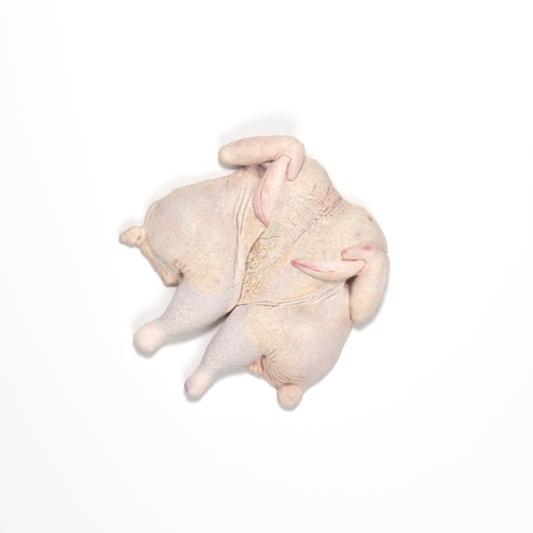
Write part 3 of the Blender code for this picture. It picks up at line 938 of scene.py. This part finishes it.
def raw_skin():
    """Raw chicken skin: fat and blood under a thin wet film, with feather pits in rows."""
    material = bpy.data.materials.new("raw_chicken_skin")
    material.use_nodes = True
    nodes, links = material.node_tree.nodes, material.node_tree.links
    finish = nodes["Principled BSDF"]
    finish.inputs["Roughness"].default_value = 0.45
    finish.inputs["IOR"].default_value = 1.42
    finish.inputs["Subsurface Weight"].default_value = 0.15
    finish.inputs["Subsurface Radius"].default_value = (1.0, 0.4, 0.25)
    finish.inputs["Subsurface Scale"].default_value = 0.0022
    finish.inputs["Coat Weight"].default_value = 0.15
    finish.inputs["Coat Roughness"].default_value = 0.28
    finish.inputs["Coat IOR"].default_value = 1.36

    def node(kind, **settings):
        made = nodes.new(kind)
        for name, value in settings.items():
            setattr(made, name, value)
        return made

    def grain(size, detail=3.0):
        made = node("ShaderNodeTexNoise")
        made.inputs["Scale"].default_value = 1.0 / (size * MM)
        made.inputs["Detail"].default_value = detail
        links.new(where.outputs["Object"], made.inputs["Vector"])
        return made.outputs["Fac"]

    def ramp(value, low, high, start=0.0, end=1.0):
        made = node("ShaderNodeMapRange")
        made.inputs["From Min"].default_value = low
        made.inputs["From Max"].default_value = high
        made.inputs["To Min"].default_value = start
        made.inputs["To Max"].default_value = end
        links.new(value, made.inputs["Value"])
        return made.outputs["Result"]

    def times(value, other):
        made = node("ShaderNodeMath", operation="MULTIPLY")
        for socket, source in zip(made.inputs, (value, other)):
            if isinstance(source, float):
                socket.default_value = source
            else:
                links.new(source, socket)
        return made.outputs["Value"]

    def stained(colour, share, mark_colour):
        made = node("ShaderNodeMix", data_type="RGBA")
        links.new(share, made.inputs["Factor"])
        links.new(colour, made.inputs["A"])
        made.inputs["B"].default_value = (*pigment(*mark_colour), 1.0)
        return made.outputs["Result"]

    def bumped(height, depth, normal=None, strength=1.0):
        made = node("ShaderNodeBump")
        made.inputs["Strength"].default_value = strength
        made.inputs["Distance"].default_value = depth * MM
        links.new(height, made.inputs["Height"])
        if normal is not None:
            links.new(normal, made.inputs["Normal"])
        return made.outputs["Normal"]

    def drawn_out(across, along, seed):
        stretch = node("ShaderNodeMapping")
        stretch.inputs["Location"].default_value = (seed, seed, 0.0)
        stretch.inputs["Scale"].default_value = (1 / (across * MM), 1 / (along * MM), 1.0)
        links.new(rows, stretch.inputs["Vector"])
        made = node("ShaderNodeTexNoise", noise_dimensions="2D")
        made.inputs["Scale"].default_value = 1.0
        made.inputs["Detail"].default_value = 3.0
        made.inputs["Distortion"].default_value = 0.6
        links.new(stretch.outputs["Vector"], made.inputs["Vector"])
        return made.outputs["Fac"]

    where = node("ShaderNodeTexCoord")
    colour = node("ShaderNodeAttribute", attribute_name="skin_colour").outputs["Color"]
    rows = node("ShaderNodeAttribute", attribute_name="pit_rows").outputs["Vector"]
    pitted = node("ShaderNodeAttribute", attribute_name="pitted").outputs["Fac"]
    lined = node("ShaderNodeAttribute", attribute_name="lined").outputs["Fac"]

    pits = node("ShaderNodeTexVoronoi", voronoi_dimensions="2D")
    pits.inputs["Scale"].default_value = 1.0 / (PIT_SPACING * MM)
    pits.inputs["Randomness"].default_value = 0.5
    links.new(rows, pits.inputs["Vector"])
    pit = ramp(pits.outputs["Distance"], 0.21, 0.09)
    swell = ramp(pits.outputs["Distance"], 0.5, 0.15)
    pit_share = times(pit, pitted)

    upright, level = drawn_out(2.0, 7.0, 3.0), drawn_out(8.0, 2.2, 9.0)
    blush = ramp(grain(11), 0.52, 0.72)
    freckle = ramp(grain(2.6, 4.0), 0.56, 0.74)
    milky = ramp(grain(5.0, 5.0), 0.54, 0.72)
    colour = stained(colour, times(blush, 0.18), (232, 192, 182))
    colour = stained(colour, times(milky, 0.30), (250, 240, 230))
    dark_lines = times(ramp(upright, 0.56, 0.72), lined)
    pale_lines = times(ramp(level, 0.58, 0.74), lined)
    colour = stained(colour, times(times(freckle, lined), 0.30), (204, 180, 170))
    colour = stained(colour, times(dark_lines, 0.22), (212, 184, 172))
    colour = stained(colour, times(pale_lines, 0.18), (250, 242, 234))
    colour = stained(colour, times(pit_share, 0.5), (186, 162, 148))
    links.new(colour, finish.inputs["Base Color"])

    links.new(ramp(grain(3.2, 4.0), 0.3, 0.7, 0.38, 0.60), finish.inputs["Roughness"])

    normal = bumped(grain(4.2, 4.0), 0.55)
    normal = bumped(times(upright, lined), 0.55, normal)
    normal = bumped(times(level, lined), 0.45, normal)
    normal = bumped(grain(1.5, 3.0), 0.32, normal)
    normal = bumped(times(swell, pitted), 0.16, normal)
    normal = bumped(times(pit, pitted), -0.22, normal)
    links.new(normal, finish.inputs["Normal"])
    links.new(normal, finish.inputs["Coat Normal"])
    return material


SKIN = raw_skin()


def show(name, skin):
    """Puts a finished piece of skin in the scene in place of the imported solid."""
    obj = object_of(name, skin.mesh)
    skin.mesh.materials.clear()
    skin.mesh.materials.append(SKIN)
    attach(obj, "root")
    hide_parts("chicken")


# Painted shade in the folds and a painted highlight on the crests of the trunk.
paint_fold_shade(skin)
keep_looks(skin, rows_u, rows_v, pitted, lined=1 - 0.8 * drum)
show("trunk_and_legs", skin)


# ---------------------------------------------------------------------------------------------
# The wings, folded back over the breast. Each is a forearm from the elbow up to the wrist, the
# flat hand with its two joined digits coming down from there, and the stub of the thumb.

WING_GRID = 0.8
WING_PIT_SPACING = 4.6
ARM_RADIUS = 15.0
ARM_BLOTCHES = [
    (20, (246, 226, 200), 0.5), (12, (228, 188, 180), 0.45), (9, (244, 232, 224), 0.5),
    (6, (222, 196, 190), 0.35),
]
LEFT_WING = {
    "forearm": [
        (-128, 82, 14, 12.5, 11.5), (-118, 95, 17, 16, 13.5), (-107, 108, 21, 17, 14.5),
        (-91.5, 126.5, 27, 16.2, 14.5), (-78.5, 141, 31, 15.6, 13.5),
    ],
    "hand": [
        (-73, 131, 34, 14, 12), (-69.5, 118, 37, 14, 10), (-66, 105, 39, 14.8, 9),
        (-62.5, 93, 40, 15.4, 8.3), (-58, 82, 40.5, 15.8, 7.5), (-52, 71.5, 41, 14.5, 6.5),
        (-44.5, 63, 41, 11, 5.5), (-37, 58, 41, 6.5, 4.5), (-33, 55, 41, 3.6, 3.6),
    ],
    "thumb": [
        (-76, 141.5, 33, 15, 13), (-67, 136.5, 36, 12.5, 11), (-60, 129, 39, 9.3, 8.5),
        (-55, 121, 40.5, 7.2, 6.5), (-51.5, 114.5, 41, 6, 5.5),
    ],
}
RIGHT_WING = {
    "forearm": [
        (124.5, 57.5, 22, 11, 11.5), (118.5, 67, 25, 16.5, 14), (110, 83, 30, 17.5, 15),
        (99, 101, 35, 16.5, 14.5), (89, 115, 38, 15.5, 13),
    ],
    "hand": [
        (84, 101, 41, 11, 9), (75, 90.5, 43, 13.4, 8.5), (66.5, 79.5, 43, 15.4, 8),
        (57.5, 69.5, 42, 14.8, 7.5), (46.5, 60.5, 41, 12, 6.5), (35.5, 53, 39, 8.5, 5.5),
        (26, 47, 38, 5, 4.2), (22.5, 44.8, 37.5, 3.4, 3.4),
    ],
    "skin_behind": [
        (94, 115, 33, 16, 13), (104, 106, 30.5, 15.5, 13.5), (113, 93, 27, 14.5, 13),
        (120, 80, 23, 13, 12.5), (125, 67, 20, 11.5, 11),
    ],
    "thumb": [
        (83, 117, 41, 13.5, 11), (73, 110.5, 44, 11.5, 9), (65, 102, 46, 9, 7.5),
        (59, 93.5, 47, 6, 5.5),
    ],
}


def wing_skin(name, wing):
    bm = bmesh.new()
    for limb, stations in wing.items():
        add_limb(bm, stations, tip=0.4 if limb == "thumb" else 1.0)
    return Skin(melted(name, bm, WING_GRID, rounds=22))


def round_bone(skin, stations):
    """Rows of pits along a limb and round it: its length and its girth, in millimetres."""
    start, end = np.array(stations[0][:3], float), np.array(stations[-1][:3], float)
    bone = (end - start) / np.linalg.norm(end - start)
    across = np.cross(bone, (0, 0, 1))
    across /= np.linalg.norm(across)
    over = np.cross(across, bone)
    arm = skin.points - start
    girth = np.arctan2(arm @ across, arm @ over)
    return arm @ bone, girth * ARM_RADIUS


def goose_bumps(seed):
    pits = follicles(rows_u, rows_v, WING_PIT_SPACING, seed, 0.4)
    skin.push(0.22 * np.exp(-((pits / 1.4) ** 2)))


# The left wing lies a little open, its forearm out over the board and its hand along the breast.
skin = wing_skin("left_wing", LEFT_WING)
x, y, z = skin.x, skin.y, skin.z
rows_u, rows_v = round_bone(skin, LEFT_WING["forearm"])
skin.colour[:] = pigment(236, 210, 198)
paint([
    ((-104, 112), (26, 9), 48, (242, 219, 202), 0.8),
    ((-124, 110), (30, 6), 50, (224, 204, 192), 0.7),
    ((-130, 82), (12, 12), 0, (240, 226, 214), 0.8),
    ((-88, 146), (20, 10), 20, (238, 226, 216), 0.8),
    ((-76, 140), (10, 8), 0, (236, 220, 212), 0.7),
    ((-74, 100), (6, 20), 20, (226, 192, 188), 0.7),
    ((-92, 104), (18, 5), 46, (224, 186, 182), 0.7),
    # Painted light along the hand's upper right side, and a bluish painted highlight at its edge.
    ((-57, 96), (7, 34), 26, (246, 232, 224), 0.9),
    ((-46, 76), (3.5, 20), 28, (226, 214, 228), 0.6),
    ((-66, 80), (7, 30), 32, (232, 196, 190), 0.85),
    ((-42, 57), (12, 5), -20, (230, 172, 178), 0.8),
    ((-32, 55), (5, 4), 0, (214, 128, 140), 0.9),
    ((-57, 128), (7, 14), 26, (236, 204, 206), 0.85),
    ((-50, 113), (5, 4), 0, (232, 190, 184), 0.8),
])
arm_share = rise(-x - 0.3 * y, 60, 80)
blotch(0.2 + 0.8 * arm_share, 141, ARM_BLOTCHES)
skin.push(0.8 * hills(30, 41) + 0.3 * hills(9, 42) + 0.1 * hills(4, 43))
LEFT_DIGITS_SEAM = [(-76, 101), (-72, 90), (-65, 77), (-54, 66), (-42, 59), (-31, 56)]
wrinkle(LEFT_DIGITS_SEAM, 0.9, 1.2, (216, 160, 158), 0.55, lips=0.4, fade=0.35)
wrinkle([(-68, 133), (-66, 126), (-61, 118), (-54, 110)], 1.4, 1.1, (206, 150, 148), 0.6)
wrinkle([(-81, 127), (-74, 131), (-68, 131)], 0.8, 1.0, (222, 180, 176), 0.5)
wrinkle([(-88, 106), (-83, 112), (-80, 122), (-80, 130)], 1.8, 1.5, (200, 144, 142), 0.6)
WRIST_PULLS = [
    [(-84, 126), (-83.5, 119), (-83, 112)], [(-87.5, 120), (-87, 114), (-85.5, 108)],
    [(-80, 118), (-79.5, 112), (-79.5, 106)],
]
for path in WRIST_PULLS:
    wrinkle(path, 0.6, 1.2, (214, 160, 152), 0.5)
HAND_LINES = [
    [(-50, 100), (-46, 92), (-43, 84)], [(-56, 84), (-50, 78), (-46, 70)],
    [(-62, 92), (-58, 84), (-55, 76)],
]
for path in HAND_LINES:
    wrinkle(path, 0.4, 1.2, (214, 200, 214), 0.4)
web = spot((-60, 72), 10, 16, 30)
ruffles = creased(streaks(x + y, x - y, 1.6, 8, 44), 0.34)
skin.push(-0.4 * web * ruffles)
skin.tint((222, 170, 168), 0.4 * web * ruffles)
goose_bumps(seed=7.0)
skin.settle()
# Painted shade in the folds and a painted highlight on the crests of the left wing.
paint_fold_shade(skin)
keep_looks(skin, rows_u, rows_v, 0.15 + 0.3 * arm_share, lined=0.5)
show("left_wing", skin)


# The right wing is folded tighter, with the upper arm's pale skin behind its forearm and with
# blood at the wrist, the thumb and the tip.
skin = wing_skin("right_wing", RIGHT_WING)
x, y, z = skin.x, skin.y, skin.z
rows_u, rows_v = round_bone(skin, RIGHT_WING["forearm"])
skin.colour[:] = pigment(240, 219, 203)
paint([
    ((114, 72), (16, 26), 20, (243, 220, 196), 0.85),
    ((124, 56), (9, 9), 0, (238, 206, 188), 0.6),
    ((98, 112), (12, 12), 0, (240, 224, 214), 0.8),
    ((122, 106), (9, 26), -32, (242, 232, 234), 0.85),
    ((90, 92), (6, 14), 10, (228, 194, 188), 0.7),
    ((84, 122), (8, 8), 0, (230, 208, 206), 0.7),
    ((68, 105), (8, 16), -42, (226, 192, 192), 0.9),
    ((74, 120.5), (7.5, 3.2), 48, (208, 104, 128), 0.8),
    ((57.5, 96), (2.6, 5), -20, (206, 96, 118), 0.85),
    ((66, 92), (5, 2.5), 30, (216, 150, 156), 0.6),
    # A bluish-white painted highlight along the digit.
    ((56, 73), (22, 4.5), 45, (236, 226, 234), 0.95),
    ((78, 96), (10, 5), 45, (236, 210, 204), 0.8),
    ((66, 62), (20, 5), 42, (232, 196, 182), 0.8),
    ((38, 56), (18, 5), 38, (234, 190, 194), 0.7),
    ((32, 50), (16, 3.2), 35, (220, 140, 150), 0.85),
    ((21, 44.5), (5.5, 4.5), 0, (192, 56, 76), 1.0),
])
arm_share = rise(x, 88, 104)
blotch(0.1 + 0.9 * arm_share, 151, ARM_BLOTCHES)
skin.push(0.8 * hills(30, 51) + 0.3 * hills(9, 52) + 0.1 * hills(4, 53))
RIGHT_DIGITS_SEAM = [(22, 45), (34, 51), (44, 55), (54, 60.5), (61, 67), (66, 74)]
wrinkle(RIGHT_DIGITS_SEAM, 0.8, 1.2, (212, 116, 122), 0.7, lips=0.4, fade=0.4)
wrinkle([(87, 106), (80, 107), (73, 99), (64, 91), (57, 87)], 1.5, 1.2, (206, 140, 138), 0.65)
wrinkle([(87, 82), (88, 92), (87, 100), (84, 106)], 1.2, 1.4, (206, 150, 140), 0.6)
web = spot((68, 66), 16, 7, 42)
ruffles = creased(streaks(x - y, x + y, 1.7, 8, 54), 0.34)
skin.push(-0.45 * web * ruffles)
skin.tint((224, 176, 162), 0.4 * web * ruffles)
goose_bumps(seed=9.0)
skin.settle()
# Painted shade in the folds and a painted highlight on the crests of the right wing.
paint_fold_shade(skin)
keep_looks(skin, rows_u, rows_v, 0.15 + 0.4 * arm_share, lined=0.5)
show("right_wing", skin)


# ---------------------------------------------------------------------------------------------
# A plain white table under soft, even studio light, and the camera straight above.

bm = bmesh.new()
bmesh.ops.create_grid(bm, x_segments=1, y_segments=1, size=3.0)
table = object_of("table", mesh_of("table", bm))
paper = bpy.data.materials.new("white_table")
paper.use_nodes = True
paper.node_tree.nodes["Principled BSDF"].inputs["Base Color"].default_value = (0.9, 0.9, 0.9, 1)
paper.node_tree.nodes["Principled BSDF"].inputs["Roughness"].default_value = 0.9
table.data.materials.append(paper)

world = bpy.data.worlds.new("studio")
bpy.context.scene.world = world
world.use_nodes = True
world.node_tree.nodes["Background"].inputs["Color"].default_value = (1.0, 1.0, 1.0, 1)
world.node_tree.nodes["Background"].inputs["Strength"].default_value = 0.27


def softbox(name, spot_at, aim, size, watts):
    light = bpy.data.lights.new(name, "AREA")
    light.shape = "DISK"
    light.size = size
    light.energy = watts
    obj = object_of(name, light)
    obj.location = spot_at
    way = Vector(aim) - Vector(spot_at)
    obj.rotation_euler = way.to_track_quat("-Z", "Y").to_euler()
    return obj


softbox("main_softbox", (-0.5, 0.6, 1.9), (0, 0, 0), 0.5, 27.5)
softbox("fill_softbox", (1.1, -0.7, 1.6), (0, 0, 0), 1.0, 14)

FRAME_WIDTH = 0.650  # how wide the camera's view is, at the middle height of the bird
BIRD_MIDDLE_HEIGHT = 0.025
CAMERA_HEIGHT = 2.6
camera = object_of("camera", bpy.data.cameras.new("camera"))
camera.data.sensor_width = 36.0
camera.data.lens = 36.0 * (CAMERA_HEIGHT - BIRD_MIDDLE_HEIGHT) / FRAME_WIDTH
camera.location = (0.00455, 0.0222, CAMERA_HEIGHT)
camera.rotation_euler = (0.0, 0.0, math.radians(45))
bpy.context.scene.camera = camera
bpy.context.scene.view_settings.view_transform = "Standard"
